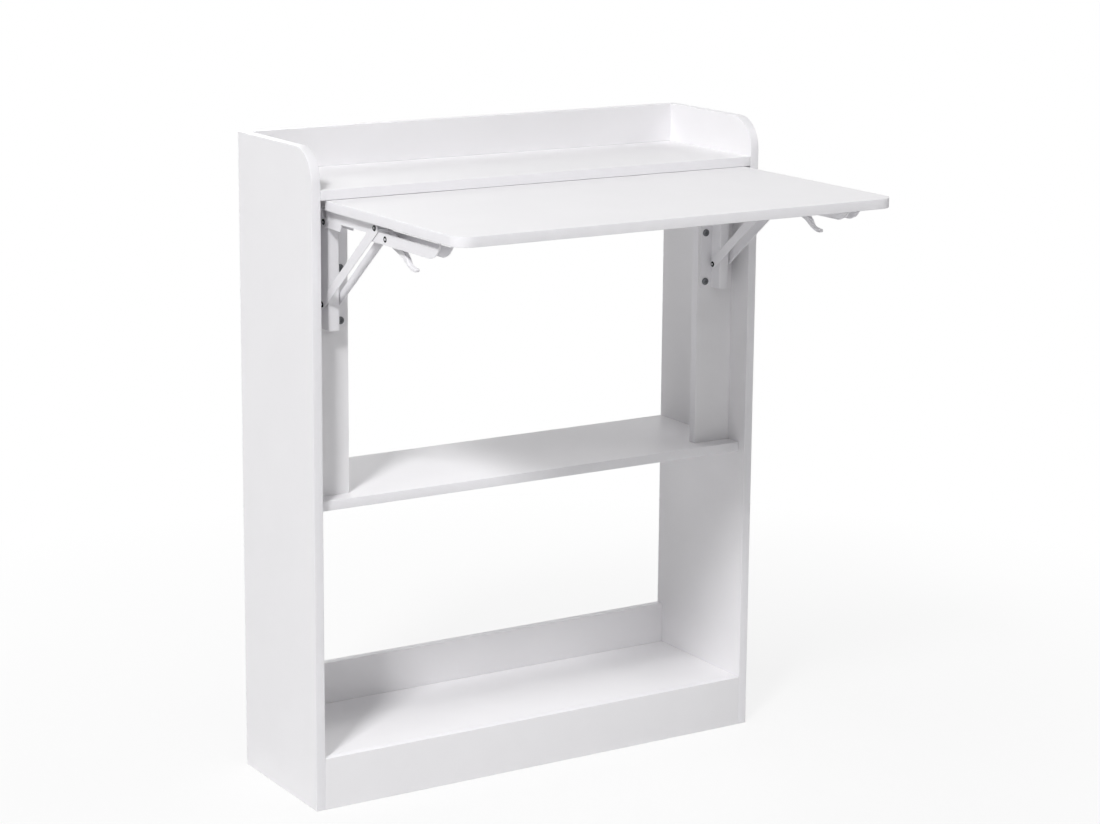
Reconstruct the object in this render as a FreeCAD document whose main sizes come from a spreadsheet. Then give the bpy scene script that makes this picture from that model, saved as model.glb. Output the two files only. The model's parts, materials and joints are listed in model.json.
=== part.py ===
import FreeCAD, Part
import os
import re
import Sketcher

# Free-standing shelf unit in white board with a leaf that folds down on two steel brackets.
# +X is to the right, +Y to the back and +Z up; the origin is on the floor, under the
# middle of the unit's box with the leaf open.
doc = FreeCAD.newDocument("fold_down_desk")

# Driving sizes, in millimetres
SIZES = {
    # Carcass boards
    "unit_width": 640,
    "unit_depth": 194,
    "unit_height": 809,
    "board": 12,
    "panel_corner": 40,
    "kick_height": 65,
    "lower_rail_height": 54,
    "middle_shelf_top": 383,
    "middle_setback": 12.5,
    "tray_height": 49,
    "post_width": 54,
    "post_setback": 36,
    # Fold-down leaf
    "leaf_side_gap": 8.5,
    "leaf_board": 12,
    "leaf_reach": 305,
    "leaf_tuck": 10,
    "leaf_gap": 0.5,
    "leaf_front_corner": 22,
    "leaf_back_corner": 6,
    # Hidden fittings that hold the boards together
    "dowel_radius": 3,
    "dowel_face_depth": 8,
    "dowel_end_depth": 16,
    "bolt_radius": 2.5,
    "bolt_bite": 8,
    "bolt_tip": 2,
    "cam_inset": 24,
    "cam_radius": 6,
    "cam_skin": 2.5,
    # Clearances and cutting overrun
    "fit": 0.05,
    "run": 0.1,
    "play": 0.3,
    "end_play": 0.5,
    "overrun": 5,
    # Folding brackets, pressed from steel sheet
    "steel": 1.2,
    "bracket_inset": 25.8,
    "wall_arm_width": 14.8,
    "wall_arm_depth": 19,
    "wall_arm_head": 5,
    "wall_arm_tail": 31,
    "flange_reach": 24,
    "flange_screw_offset": 17.2,
    "flange_screw_low": 8,
    "flange_screw_pitch": 63.5,
    "pivot_stand": 10.5,
    "pivot_drop": 17,
    "pivot_radius": 2.5,
    "rivet_head": 1,
    "rivet_head_radius": 3.6,
    "strut_drop": 99,
    "strut_set": 3,
    "strut_foot_radius": 5.5,
    "strut_top_radius": 5.8,
    "strut_belly": 7.8,
    "slot_start": 128,
    "slot_rise": 10.8,
    "slide_pin_radius": 3,
    "ear_back": 6.5,
    "ear_reach": 41.5,
    "ear_corner": 4,
    "ear_hole_ahead": 2.2,
    "ear_hole_rise": 10,
    "ear_hole_radius": 5,
    "arm_low": 6,
    "relief_rise": 2.5,
    "relief_room": 6,
    "relief_lean": 2.5,
    "arm_tip": 6.5,
    "nose_lean": 21,
    "nose_bend": 9.5,
    "nose_bend_drop": 1.2,
    "nose_top": 9.5,
    "nose_corner": 14,
    "nose_top_corner": 10,
    # Release levers
    "lever_plate": 6,
    "lever_reach": 59.2,
    "lever_drop": 29.5,
    "lever_bend": 4,
    "lever_tip": 1.8,
    "lever_pin_ahead": 22.5,
    "lever_pin_rise": 0.8,
    "lever_pin_radius": 2.5,
    "spring_radius": 3.8,
    # Screws into the leaf and the posts
    "leaf_screw_radius": 1.5,
    "leaf_screw_skin": 3,
    "leaf_screw_head": 1.2,
    "leaf_screw_head_radius": 3.5,
    "post_screw_radius": 2,
    "post_screw_skin": 2,
    "post_screw_head": 2.2,
    "post_screw_head_radius": 4.7,
}

# Places that follow from the sizes
PLACES = {
    "half_width": "unit_width / 2",
    "inner_x": "unit_width / 2 - board",
    "front_y": "(leaf_reach - unit_depth) / 2",
    "back_y": "(leaf_reach + unit_depth) / 2",
    "cam_depth": "board - cam_skin",
    "post_face": "front_y + post_setback",
    "post_screw_bite": "board - post_screw_skin",
    "top_shelf_top": "unit_height - tray_height",
    "shelf_under": "top_shelf_top - board",
    "leaf_width": "2 * (inner_x - leaf_side_gap)",
    "leaf_screw_bite": "leaf_board - leaf_screw_skin",
    "leaf_top": "shelf_under - leaf_gap",
    "leaf_under": "leaf_top - leaf_board",
    "bracket_x": "inner_x - bracket_inset",
    "wall_arm_out": "wall_arm_width / 2",
    "table_arm_in": "wall_arm_out + play",
    "table_arm_out": "table_arm_in + steel",
    "strut_in": "table_arm_out + play",
    "strut_out": "strut_in + steel",
    "pivot_y": "post_face - pivot_stand",
    "pivot_z": "leaf_under - pivot_drop",
    "strut_y": "pivot_y + strut_set",
    "strut_z": "pivot_z - strut_drop",
    "strut_run": "slot_start + strut_set",
    "strut_climb": "slot_rise + strut_drop",
    "strut_length": "sqrt(strut_run ^ 2 + strut_climb ^ 2)",
    "slot_z": "pivot_z + slot_rise",
    "slot_back_y": "pivot_y - slot_start",
    "slot_end": "strut_drop + sqrt(strut_length ^ 2 - (strut_set + slot_rise) ^ 2)",
    "slot_front_y": "pivot_y - slot_end",
    "slot_half": "slide_pin_radius + play",
    "wall_foot_z": "strut_z - wall_arm_tail",
    "wall_arm_height": "pivot_z + wall_arm_head - wall_foot_z",
    "wall_web_y": "post_face - wall_arm_depth",
    "relief_end": "strut_drop + relief_room",
    "lever_pin_y": "slot_back_y - lever_pin_ahead",
    "lever_pin_z": "pivot_z + lever_pin_rise",
}

# Where fittings lie along a board, as shares of its depth or height
bolt_depth_shares = (0.12, 0.85)
dowel_depth_share = 0.5
bolt_height_share = 0.3
dowel_height_share = 0.7
post_dowel_shares = (0.25, 0.75)
leaf_screw_shares = (0.12, 0.3, 0.62, 0.9)

# Side outline of the release lever, as shares of its reach and drop from the lever pin,
# with the radius that rounds the corner
lever_outline_shares = (
    (-0.243, 0.184),
    (0.046, 0.184),
    (0.324, 0.058, "lever_bend"),
    (0.532, -0.33),
    (0.665, -0.533, "lever_bend"),
    (0.723, -0.713),
    (0.764, -0.79, "lever_bend"),
    (0.879, -0.839),
    (1.0, -0.868, "lever_tip"),
    (0.99, -1.0, "lever_tip"),
    (0.902, -0.989, "lever_bend"),
    (0.81, -0.94),
    (0.694, -0.843, "lever_bend"),
    (0.631, -0.766),
    (0.567, -0.679, "lever_bend"),
    (0.486, -0.591),
    (0.347, -0.494, "lever_bend"),
    (0.069, -0.3),
    (-0.243, -0.136),
)


def named(text):
    """The same sum, with every size and place looked up in its sheet."""
    def lookup(match):
        word = match.group()
        if word in SIZES:
            return "sizes." + word
        if word in PLACES:
            return "places." + word
        return word
    return re.sub(r"[a-z][a-z_0-9]*", lookup, text)


sizes = doc.addObject("Spreadsheet::Sheet", "sizes")
for row, (name, number) in enumerate(SIZES.items(), start=1):
    sizes.set(f"A{row}", str(number))
    sizes.setAlias(f"A{row}", name)
doc.recompute()

places = doc.addObject("Spreadsheet::Sheet", "places")
for row, (name, formula) in enumerate(PLACES.items(), start=1):
    places.setAlias(f"A{row}", name)
    places.set(f"A{row}", "=" + named(formula).replace("places.", ""))
doc.recompute()

nodes = {}
bores = {}


def value(text):
    """The sum's number with the sizes as they stand."""
    answer = sizes.evalExpression(named(text))
    return float(getattr(answer, "Value", answer))


def bind(thing, name, text):
    thing.setExpression(name, named(text))


def seat(piece, place):
    """Bind the piece's position to three sums."""
    for axis, text in zip("xyz", place):
        bind(piece, "Placement.Base." + axis, text)


def box(name, corner, extent):
    """Block from its lowest corner, with its extent along X, Y and Z."""
    piece = doc.addObject("Part::Box", name)
    for side, text in zip(("Length", "Width", "Height"), extent):
        bind(piece, side, text)
    seat(piece, corner)
    return piece


TURNS = {
    "x": FreeCAD.Rotation(FreeCAD.Vector(0, 1, 0), 90),
    "y": FreeCAD.Rotation(FreeCAD.Vector(1, 0, 0), -90),
    "z": FreeCAD.Rotation(),
}


def rod(name, axis, start, radius, length):
    """Round bar from the centre of its first end, along an axis."""
    piece = doc.addObject("Part::Cylinder", name)
    piece.Placement = FreeCAD.Placement(FreeCAD.Vector(), TURNS[axis])
    bind(piece, "Radius", radius)
    bind(piece, "Height", length)
    seat(piece, start)
    return piece


def join(name, pieces):
    piece = doc.addObject("Part::MultiFuse", name)
    piece.Shapes = pieces
    piece.Refine = True
    return piece


def cut(name, base, tools):
    piece = doc.addObject("Part::Cut", name)
    piece.Base = base
    piece.Tool = tools[0] if len(tools) == 1 else join(name + "_tools", tools)
    return piece


def group(name, pieces):
    piece = doc.addObject("Part::Compound", name)
    piece.Links = pieces
    return piece


def node(name, piece):
    piece.Label = name
    nodes[name] = piece


def slab(name, plane, corners, start, thickness):
    """Board or plate padded from a straight-sided outline on one plane of its body.

    Each corner is a pair of sums, along Y and Z on the YZ plane or X and Y on the XY plane.
    A third entry names the radius that rounds it.
    """
    body = doc.addObject("PartDesign::Body", name)
    sketch = body.newObject("Sketcher::SketchObject", name + "_outline")
    roles = {feature.Role: feature for feature in body.Origin.OriginFeatures}
    sketch.AttachmentSupport = [(roles[plane], "")]
    sketch.MapMode = "FlatFace"
    points = [FreeCAD.Vector(value(across), value(up), 0) for across, up, *radius in corners]
    count = len(points)
    for index, point in enumerate(points):
        sketch.addGeometry(Part.LineSegment(point, points[(index + 1) % count]), False)
    for index in range(count):
        sketch.addConstraint(Sketcher.Constraint("Coincident", index, 2, (index + 1) % count, 1))
    rounds = {}
    for index, (across, up, *radius) in enumerate(corners):
        spot = points[index]
        for kind, text, number in (("DistanceX", across, spot.x), ("DistanceY", up, spot.y)):
            place = sketch.addConstraint(Sketcher.Constraint(kind, -1, 1, index, 1, number))
            sketch.renameConstraint(place, f"{kind}_{index}")
            bind(sketch, f"Constraints.{kind}_{index}", text)
        for size in radius:
            rounds.setdefault(size, []).append(spot)
    pad = body.newObject("PartDesign::Pad", name + "_pad")
    pad.Profile = sketch
    bind(pad, "Length", thickness)
    doc.recompute()
    feature = pad
    for size, spots in rounds.items():
        rounding = body.newObject("PartDesign::Fillet", f"{name}_{size}")
        rounding.Base = (feature, corner_edges(feature.Shape, plane, spots))
        bind(rounding, "Radius", size)
        doc.recompute()
        feature = rounding
    seat(body, (start, "0", "0") if plane == "YZ_Plane" else ("0", "0", start))
    return body


def corner_edges(shape, plane, points):
    """Names of the edges that stand square to the outline at the given corners."""
    found = []
    for number, edge in enumerate(shape.Edges, start=1):
        middle = edge.CenterOfMass
        spot = (middle.y, middle.z) if plane == "YZ_Plane" else (middle.x, middle.y)
        for point in points:
            if abs(spot[0] - point.x) < edge.Tolerance and abs(spot[1] - point.y) < edge.Tolerance:
                found.append(f"Edge{number}")
    return found


# Side panels: boards on edge from the floor up, with the front top corner rounded off
panel_outline = (
    ("front_y", "0"),
    ("back_y", "0"),
    ("back_y", "unit_height"),
    ("front_y", "unit_height", "panel_corner"),
)
blanks = {}
for name, start in (("left_side_panel", "-half_width"), ("right_side_panel", "inner_x")):
    blanks[name] = slab(name + "_blank", "YZ_Plane", panel_outline, start, "board")

# Boards between the panels: each takes its corner, its depth and its height
boards = {
    "top_shelf": ("front_y", "shelf_under", "unit_depth", "board"),
    "middle_shelf": (
        "front_y + middle_setback",
        "middle_shelf_top - board",
        "unit_depth - middle_setback",
        "board",
    ),
    "bottom_shelf": ("front_y + board", "kick_height - board", "unit_depth - board", "board"),
    "kick_board": ("front_y", "0", "board", "kick_height"),
    "lower_back_rail": ("back_y - board", "kick_height", "board", "lower_rail_height"),
    "upper_back_rail": ("back_y - board", "top_shelf_top", "board", "tray_height"),
}
for name, (near, low, depth, height) in boards.items():
    blanks[name] = box(name + "_blank", ("-inner_x", near, low), ("2 * inner_x", depth, height))

# Posts: narrow boards behind the leaf, from the middle shelf up to the top shelf
post_height = "shelf_under - middle_shelf_top"
for name, start in (("left_post", "-inner_x"), ("right_post", "inner_x - post_width")):
    corner = (start, "post_face", "middle_shelf_top")
    blanks[name] = box(name + "_blank", corner, ("post_width", "board", post_height))

# Leaf: rounded board that tucks a little way under the top shelf
leaf_outline = (
    ("-leaf_width / 2", "front_y + leaf_tuck", "leaf_back_corner"),
    ("-leaf_width / 2", "front_y - leaf_reach", "leaf_front_corner"),
    ("leaf_width / 2", "front_y - leaf_reach", "leaf_front_corner"),
    ("leaf_width / 2", "front_y + leaf_tuck", "leaf_back_corner"),
)
blanks["desk_leaf"] = slab("desk_leaf_blank", "XY_Plane", leaf_outline, "leaf_under", "leaf_board")

for name in blanks:
    bores[name] = []

# Dowels and cam bolts between board ends and side panels
dowels = []
bolts = []
cams = []


def end_rod(name, side, y, z, radius, inward, outward):
    """Bar along X through the face of one side panel, reaching into the board and the panel."""
    start = f"inner_x - ({inward})" if side > 0 else f"-(inner_x + {outward})"
    return rod(name, "x", (start, y, z), radius, f"{inward} + {outward}")


def add_dowel(board, hand, side, y, z):
    label = f"{hand}_{board}_dowel"
    dowels.append(end_rod(label, side, y, z, "dowel_radius", "dowel_end_depth", "dowel_face_depth"))
    bore = end_rod(label + "_bore", side, y, z, "dowel_radius + fit", "dowel_end_depth + end_play",
                   "dowel_face_depth + end_play")
    bores[board].append(bore)
    bores[hand + "_side_panel"].append(bore)


def add_cam(board, hand, side, y, z, axis, face):
    """Bolt in the panel and the cam disc that draws it in, let into the board from one face."""
    label = f"{hand}_{board}_bolt_{len(bolts)}"
    bolts.append(end_rod(label, side, y, z, "bolt_radius", "cam_inset + bolt_tip", "bolt_bite"))
    bore = end_rod(label + "_bore", side, y, z, "bolt_radius + fit", "cam_inset + bolt_tip + end_play",
                   "bolt_bite + end_play")
    bores[board].append(bore)
    bores[hand + "_side_panel"].append(bore)
    x = f"{side} * (inner_x - cam_inset)"
    if axis == "z":
        disc = rod(label + "_disc", axis, (x, y, face), "cam_radius", "cam_depth")
        pocket_start = (x, y, f"{face} - overrun")
    else:
        disc = rod(label + "_disc", axis, (x, f"{face} - cam_depth", z), "cam_radius", "cam_depth")
        pocket_start = (x, f"{face} - cam_depth - end_play", z)
    pocket = rod(label + "_pocket", axis, pocket_start, "cam_radius + fit", "cam_depth + end_play + overrun")
    bores[board].append(pocket)
    cams.append(cut(label + "_cam", disc, [bore]))


for board, (near, low, depth, height) in boards.items():
    for hand, side in (("left", -1), ("right", 1)):
        if height == "board":
            middle = f"{low} + board / 2"
            add_dowel(board, hand, side, f"{near} + {dowel_depth_share} * ({depth})", middle)
            for share in bolt_depth_shares:
                add_cam(board, hand, side, f"{near} + {share} * ({depth})", middle, "z", low)
        else:
            middle = f"{near} + board / 2"
            add_dowel(board, hand, side, middle, f"{low} + {dowel_height_share} * ({height})")
            bolt_z = f"{low} + {bolt_height_share} * ({height})"
            add_cam(board, hand, side, middle, bolt_z, "y", f"{near} + board")

# Dowels at the foot and the head of each post
for hand, side in (("left", -1), ("right", 1)):
    for share in post_dowel_shares:
        x = f"{side} * (inner_x - {share} * post_width)"
        y = "post_face + board / 2"
        for shelf, foot, below in (
            ("middle_shelf", "middle_shelf_top", "dowel_face_depth"),
            ("top_shelf", "shelf_under", "dowel_end_depth"),
        ):
            label = f"{hand}_post_{shelf}_dowel"
            length = "dowel_face_depth + dowel_end_depth"
            dowels.append(rod(label, "z", (x, y, f"{foot} - {below}"), "dowel_radius", length))
            bore_start = (x, y, f"{foot} - {below} - end_play")
            bore = rod(label + "_bore", "z", bore_start, "dowel_radius + fit", length + " + 2 * end_play")
            bores[shelf].append(bore)
            bores[hand + "_post"].append(bore)

node("wood_dowels", group("wood_dowels", dowels))
node("cam_bolts", group("cam_bolts", bolts))
node("cam_discs", group("cam_discs", cams))


def span(side, low, high):
    """Start and length along X of what lies between two offsets from a bracket's middle plane.

    Offsets count towards the nearer side panel, so both brackets come out as mirror images.
    """
    start = f"bracket_x + {low}" if side > 0 else f"-(bracket_x + {high})"
    return start, f"{high} - ({low})"


def bracket_box(name, side, low, high, corner, extent):
    start, length = span(side, low, high)
    return box(name, (start, *corner), (length, *extent))


def bracket_rod(name, side, low, high, y, z, radius):
    start, length = span(side, low, high)
    return rod(name, "x", (start, y, z), radius, length)


def bracket_plate(name, side, low, high, outline):
    start, length = span(side, low, high)
    return slab(name, "YZ_Plane", outline, start, length)


def wall_arm(hand, side):
    """Channel with its web to the front and one flange, screwed to the post."""
    name = hand + "_wall_arm"
    upright = ("wall_web_y", "wall_foot_z")
    flange_low = ("post_face - steel", "wall_foot_z")
    arm = join(name + "_blank", [
        bracket_box(name + "_web", side, "-wall_arm_out", "wall_arm_out", upright,
                    ("steel", "wall_arm_height")),
        bracket_box(name + "_outer_wall", side, "wall_arm_out - steel", "wall_arm_out", upright,
                    ("wall_arm_depth", "wall_arm_height")),
        bracket_box(name + "_inner_wall", side, "-wall_arm_out", "-wall_arm_out + steel", upright,
                    ("wall_arm_depth", "wall_arm_height")),
        bracket_box(name + "_flange", side, "-flange_reach", "-wall_arm_out + steel", flange_low,
                    ("steel", "wall_arm_height")),
    ])
    through = ("-wall_arm_out - overrun", "wall_arm_out + overrun")
    holes = [
        bracket_rod(name + "_pivot_hole", side, *through, "pivot_y", "pivot_z", "pivot_radius + fit"),
        bracket_rod(name + "_strut_hole", side, *through, "strut_y", "strut_z", "pivot_radius + run"),
    ]
    x = f"{side} * (bracket_x - flange_screw_offset)"
    for place, z in (("low", "wall_foot_z + flange_screw_low"),
                     ("high", "wall_foot_z + flange_screw_low + flange_screw_pitch")):
        shank_start = (x, "post_face - steel", z)
        label = f"{hand}_post_screw_{place}"
        shank = rod(label + "_shank", "y", shank_start, "post_screw_radius", "steel + post_screw_bite")
        head_start = (x, "post_face - steel - post_screw_head", z)
        head = rod(label + "_head", "y", head_start, "post_screw_head_radius", "post_screw_head")
        post_screws.append(join(label, [shank, head]))
        bore_start = (x, "post_face - steel - overrun", z)
        bore = rod(label + "_bore", "y", bore_start, "post_screw_radius + fit",
                   "overrun + steel + post_screw_bite + end_play")
        holes.append(bore)
        bores[hand + "_post"].append(bore)
    node(name, cut(name, arm, holes))


def on_arm(out, rise, *radius):
    """Corner of a table arm: so far out from the pivot towards the front, so far above it."""
    return f"pivot_y - ({out})", f"pivot_z + {rise}", *radius


table_arm_outline = (
    on_arm("-ear_back", "pivot_drop"),
    on_arm("-ear_back", "-arm_low", "ear_corner"),
    on_arm("ear_reach", "-arm_low"),
    on_arm("ear_reach + relief_lean", "relief_rise"),
    on_arm("relief_end", "relief_rise"),
    on_arm("relief_end + relief_lean", "-arm_low"),
    on_arm("slot_end + arm_tip - nose_lean", "-arm_low", "nose_corner"),
    on_arm("slot_end + arm_tip - nose_bend", "-nose_bend_drop", "nose_corner"),
    on_arm("slot_end + arm_tip", "nose_top", "nose_top_corner"),
    on_arm("slot_end + arm_tip", "pivot_drop"),
)


def table_arm(hand, side):
    """Channel under the leaf, open downwards, slotted for the slide pin and screwed to the leaf."""
    name = hand + "_table_arm"
    web_corner = ("pivot_y - slot_end - arm_tip", "leaf_under - steel")
    arm = join(name + "_blank", [
        bracket_plate(name + "_outer_wall", side, "table_arm_in", "table_arm_out", table_arm_outline),
        bracket_plate(name + "_inner_wall", side, "-table_arm_out", "-table_arm_in", table_arm_outline),
        bracket_box(name + "_web", side, "-table_arm_out", "table_arm_out", web_corner,
                    ("slot_end + arm_tip + ear_back", "steel")),
    ])
    through = ("-table_arm_out - overrun", "table_arm_out + overrun")
    slot = join(name + "_slot", [
        bracket_box(name + "_slot_run", side, *through, ("slot_front_y", "slot_z - slot_half"),
                    ("slot_end - slot_start", "2 * slot_half")),
        bracket_rod(name + "_slot_back", side, *through, "slot_back_y", "slot_z", "slot_half"),
        bracket_rod(name + "_slot_front", side, *through, "slot_front_y", "slot_z", "slot_half"),
    ])
    holes = [
        slot,
        bracket_rod(name + "_pivot_hole", side, *through, "pivot_y", "pivot_z", "pivot_radius + run"),
        bracket_rod(name + "_ear_hole", side, *through, "pivot_y - ear_hole_ahead", "pivot_z + ear_hole_rise",
                    "ear_hole_radius"),
        bracket_rod(name + "_lever_hole", side, *through, "lever_pin_y", "lever_pin_z",
                    "lever_pin_radius + fit"),
    ]
    for number, share in enumerate(leaf_screw_shares):
        x = f"{side} * bracket_x"
        y = f"pivot_y - {share} * slot_end"
        label = f"{hand}_leaf_screw_{number}"
        shank = rod(label + "_shank", "z", (x, y, "leaf_under - steel"), "leaf_screw_radius",
                    "steel + leaf_screw_bite")
        head_start = (x, y, "leaf_under - steel - leaf_screw_head")
        head = rod(label + "_head", "z", head_start, "leaf_screw_head_radius", "leaf_screw_head")
        leaf_screws.append(join(label, [shank, head]))
        bore = rod(label + "_bore", "z", (x, y, "leaf_under - steel - overrun"), "leaf_screw_radius + fit",
                   "overrun + steel + leaf_screw_bite + end_play")
        holes.append(bore)
        bores["desk_leaf"].append(bore)
    node(name, cut(name, arm, holes))


# Strut corners: a bar that swells on its under side from its foot to its top
strut_lean = "strut_climb / strut_length"
strut_level = "strut_run / strut_length"
strut_outline = tuple(
    (f"{y} + {sign} * {radius} * {strut_lean}", f"{z} + {sign} * {radius} * {strut_level}")
    for y, z, radius, sign in (
        ("strut_y", "strut_z", "strut_foot_radius", 1),
        ("slot_back_y", "slot_z", "strut_top_radius", 1),
        ("slot_back_y", "slot_z", "strut_belly", -1),
        ("strut_y", "strut_z", "strut_foot_radius", -1),
    )
)


def strut_bar(name, side, low, high):
    """Flat bar with round ends, from the pin on the wall arm up to the slide pin."""
    bar = join(name + "_blank", [
        bracket_plate(name + "_flat", side, low, high, strut_outline),
        bracket_rod(name + "_foot", side, low, high, "strut_y", "strut_z", "strut_foot_radius"),
        bracket_rod(name + "_top", side, low, high, "slot_back_y", "slot_z", "strut_top_radius"),
    ])
    through = (low + " - overrun", high + " + overrun")
    node(name, cut(name, bar, [
        bracket_rod(name + "_foot_hole", side, *through, "strut_y", "strut_z", "pivot_radius + fit"),
        bracket_rod(name + "_top_hole", side, *through, "slot_back_y", "slot_z", "slide_pin_radius + fit"),
    ]))


def riveted_pin(name, side, shoulder, y, z):
    """Pin with a flat head formed over at each end, beyond the shoulders."""
    return join(name, [
        bracket_rod(name + "_shank", side, f"-{shoulder}", shoulder, y, z, "pivot_radius"),
        bracket_rod(name + "_outer_head", side, shoulder, f"{shoulder} + rivet_head", y, z,
                    "rivet_head_radius"),
        bracket_rod(name + "_inner_head", side, f"-({shoulder} + rivet_head)", f"-{shoulder}", y, z,
                    "rivet_head_radius"),
    ])


def strut_rivets(hand, side):
    """One rivet in the top of each strut bar, headed on the outside."""
    rivets = []
    for place, bar, head in (
        ("outer", ("strut_in", "strut_out"), ("strut_out", "strut_out + rivet_head")),
        ("inner", ("-strut_out", "-strut_in"), ("-(strut_out + rivet_head)", "-strut_out")),
    ):
        label = f"{hand}_strut_rivet_{place}"
        shank = bracket_rod(label + "_shank", side, *bar, "slot_back_y", "slot_z", "slide_pin_radius")
        cap = bracket_rod(label + "_head", side, *head, "slot_back_y", "slot_z", "rivet_head_radius")
        rivets.append(join(label, [shank, cap]))
    node(hand + "_strut_rivets", group(hand + "_strut_rivets", rivets))


def release_lever(hand, side):
    """Flat finger lever on its own pin in the middle of the table arm."""
    name = hand + "_release_lever"
    outline = [
        (f"lever_pin_y - {along} * lever_reach", f"lever_pin_z + {up} * lever_drop", *radius)
        for along, up, *radius in lever_outline_shares
    ]
    finger = bracket_plate(name + "_finger", side, "-lever_plate / 2", "lever_plate / 2", outline)
    hole = bracket_rod(name + "_pin_hole", side, "-lever_plate", "lever_plate", "lever_pin_y", "lever_pin_z",
                       "lever_pin_radius + run")
    node(name, cut(name, finger, [hole]))


def lever_spring(hand, side):
    """Return spring coiled round the lever pin, as a plain sleeve of its outer size."""
    name = hand + "_lever_spring"
    ends = ("lever_plate / 2 + play", "table_arm_in - play")
    sleeve = bracket_rod(name + "_sleeve", side, *ends, "lever_pin_y", "lever_pin_z", "spring_radius")
    bore = bracket_rod(name + "_bore", side, "0", "table_arm_out", "lever_pin_y", "lever_pin_z",
                       "lever_pin_radius + run")
    node(name, cut(name, sleeve, [bore]))


# Two folding brackets, each the mirror image of the other
post_screws = []
leaf_screws = []
for hand, side in (("left", -1), ("right", 1)):
    wall_arm(hand, side)
    table_arm(hand, side)
    strut_bar(hand + "_strut_outer_bar", side, "strut_in", "strut_out")
    strut_bar(hand + "_strut_inner_bar", side, "-strut_out", "-strut_in")
    strut_rivets(hand, side)
    release_lever(hand, side)
    lever_spring(hand, side)
    hinge_name = hand + "_hinge_pin"
    node(hinge_name, riveted_pin(hinge_name, side, "(table_arm_out + play)", "pivot_y", "pivot_z"))
    foot_name = hand + "_strut_pin"
    node(foot_name, riveted_pin(foot_name, side, "strut_out", "strut_y", "strut_z"))
    arm_span = ("-table_arm_out", "table_arm_out")
    slide_name = hand + "_slide_pin"
    node(slide_name, bracket_rod(slide_name, side, *arm_span, "slot_back_y", "slot_z", "slide_pin_radius"))
    lever_pin_name = hand + "_lever_pin"
    node(lever_pin_name, bracket_rod(lever_pin_name, side, *arm_span, "lever_pin_y", "lever_pin_z",
                                     "lever_pin_radius"))
node("post_screws", group("post_screws", post_screws))
node("leaf_screws", group("leaf_screws", leaf_screws))

# Boards are bored last, once every fitting has asked for its hole
for name, blank in blanks.items():
    node(name, cut(name, blank, bores[name]))

doc.recompute()
for thing in doc.Objects:
    if "Invalid" in thing.State or "Error" in thing.State:
        raise RuntimeError(f"{thing.Name} failed: {thing.State}")
for name, piece in nodes.items():
    if piece.Shape.isNull() or not piece.Shape.isValid() or not piece.Shape.Solids:
        raise RuntimeError(f"{name} has no valid solid")

os.makedirs("parts", exist_ok=True)
for name, piece in nodes.items():
    piece.Shape.exportStep(f"parts/{name}.step")
    print(name, len(piece.Shape.Solids), round(piece.Shape.Volume))
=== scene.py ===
import json
import math
import bpy
import numpy as np
from mathutils import Matrix, Vector

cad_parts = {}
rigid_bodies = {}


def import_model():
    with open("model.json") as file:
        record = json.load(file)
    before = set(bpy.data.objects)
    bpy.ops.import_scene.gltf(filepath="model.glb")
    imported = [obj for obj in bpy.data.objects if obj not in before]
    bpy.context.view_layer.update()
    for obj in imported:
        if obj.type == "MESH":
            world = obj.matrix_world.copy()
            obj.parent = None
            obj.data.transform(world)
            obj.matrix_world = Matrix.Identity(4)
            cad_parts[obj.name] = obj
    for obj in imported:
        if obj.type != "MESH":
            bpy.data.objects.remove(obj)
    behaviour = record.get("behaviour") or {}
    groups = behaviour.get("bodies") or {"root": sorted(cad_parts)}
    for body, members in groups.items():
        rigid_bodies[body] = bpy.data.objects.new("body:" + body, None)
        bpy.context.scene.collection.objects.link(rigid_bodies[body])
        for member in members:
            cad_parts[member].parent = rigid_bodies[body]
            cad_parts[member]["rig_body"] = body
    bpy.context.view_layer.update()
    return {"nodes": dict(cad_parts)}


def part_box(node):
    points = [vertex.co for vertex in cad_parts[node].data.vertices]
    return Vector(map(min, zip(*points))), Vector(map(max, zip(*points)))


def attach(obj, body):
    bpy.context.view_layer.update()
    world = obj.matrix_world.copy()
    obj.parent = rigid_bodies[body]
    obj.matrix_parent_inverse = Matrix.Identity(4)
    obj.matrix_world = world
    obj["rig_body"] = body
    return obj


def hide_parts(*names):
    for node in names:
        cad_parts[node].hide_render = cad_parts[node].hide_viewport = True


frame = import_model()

# Side panels: 12 mm particle board faced with white melamine paper and edged with thin white tape.
# Sawn to a rectangle with the front top corner rounded on a router, and the tape ironed round it.
mm = 0.001
sides = {"left": -1, "right": 1}
panel_corner = 40 * mm
board_corner = 1.2 * mm
board_ease = 0.5 * mm
ease_steps = 5
crease_angle = math.radians(40)


def colour(code):
    """Linear colour of an sRGB hex code: each channel through the sRGB curve, with full alpha."""
    share = np.array([int(code[place:place + 2], 16) for place in (1, 3, 5)]) / 255
    linear = np.where(share <= 0.04045, share / 12.92, ((share + 0.055) / 1.055) ** 2.4)
    return (*linear, 1.0)


def add(tree, kind, sockets=None, **settings):
    """Add a node: settings are its own properties, and a socket takes a value or another node's output."""
    made = tree.nodes.new(kind)
    for name, setting in settings.items():
        setattr(made, name, setting)
    for name, given in (sockets or {}).items():
        if isinstance(given, bpy.types.NodeSocket):
            tree.links.new(given, made.inputs[name])
        else:
            made.inputs[name].default_value = given
    return made


def start_material(name):
    """An empty material, its node tree, and a point on the piece in metres."""
    material = bpy.data.materials.new(name)
    material.use_nodes = True
    tree = material.node_tree
    tree.nodes.clear()
    place = add(tree, "ShaderNodeTexCoord").outputs["Object"]
    return material, tree, place


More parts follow.
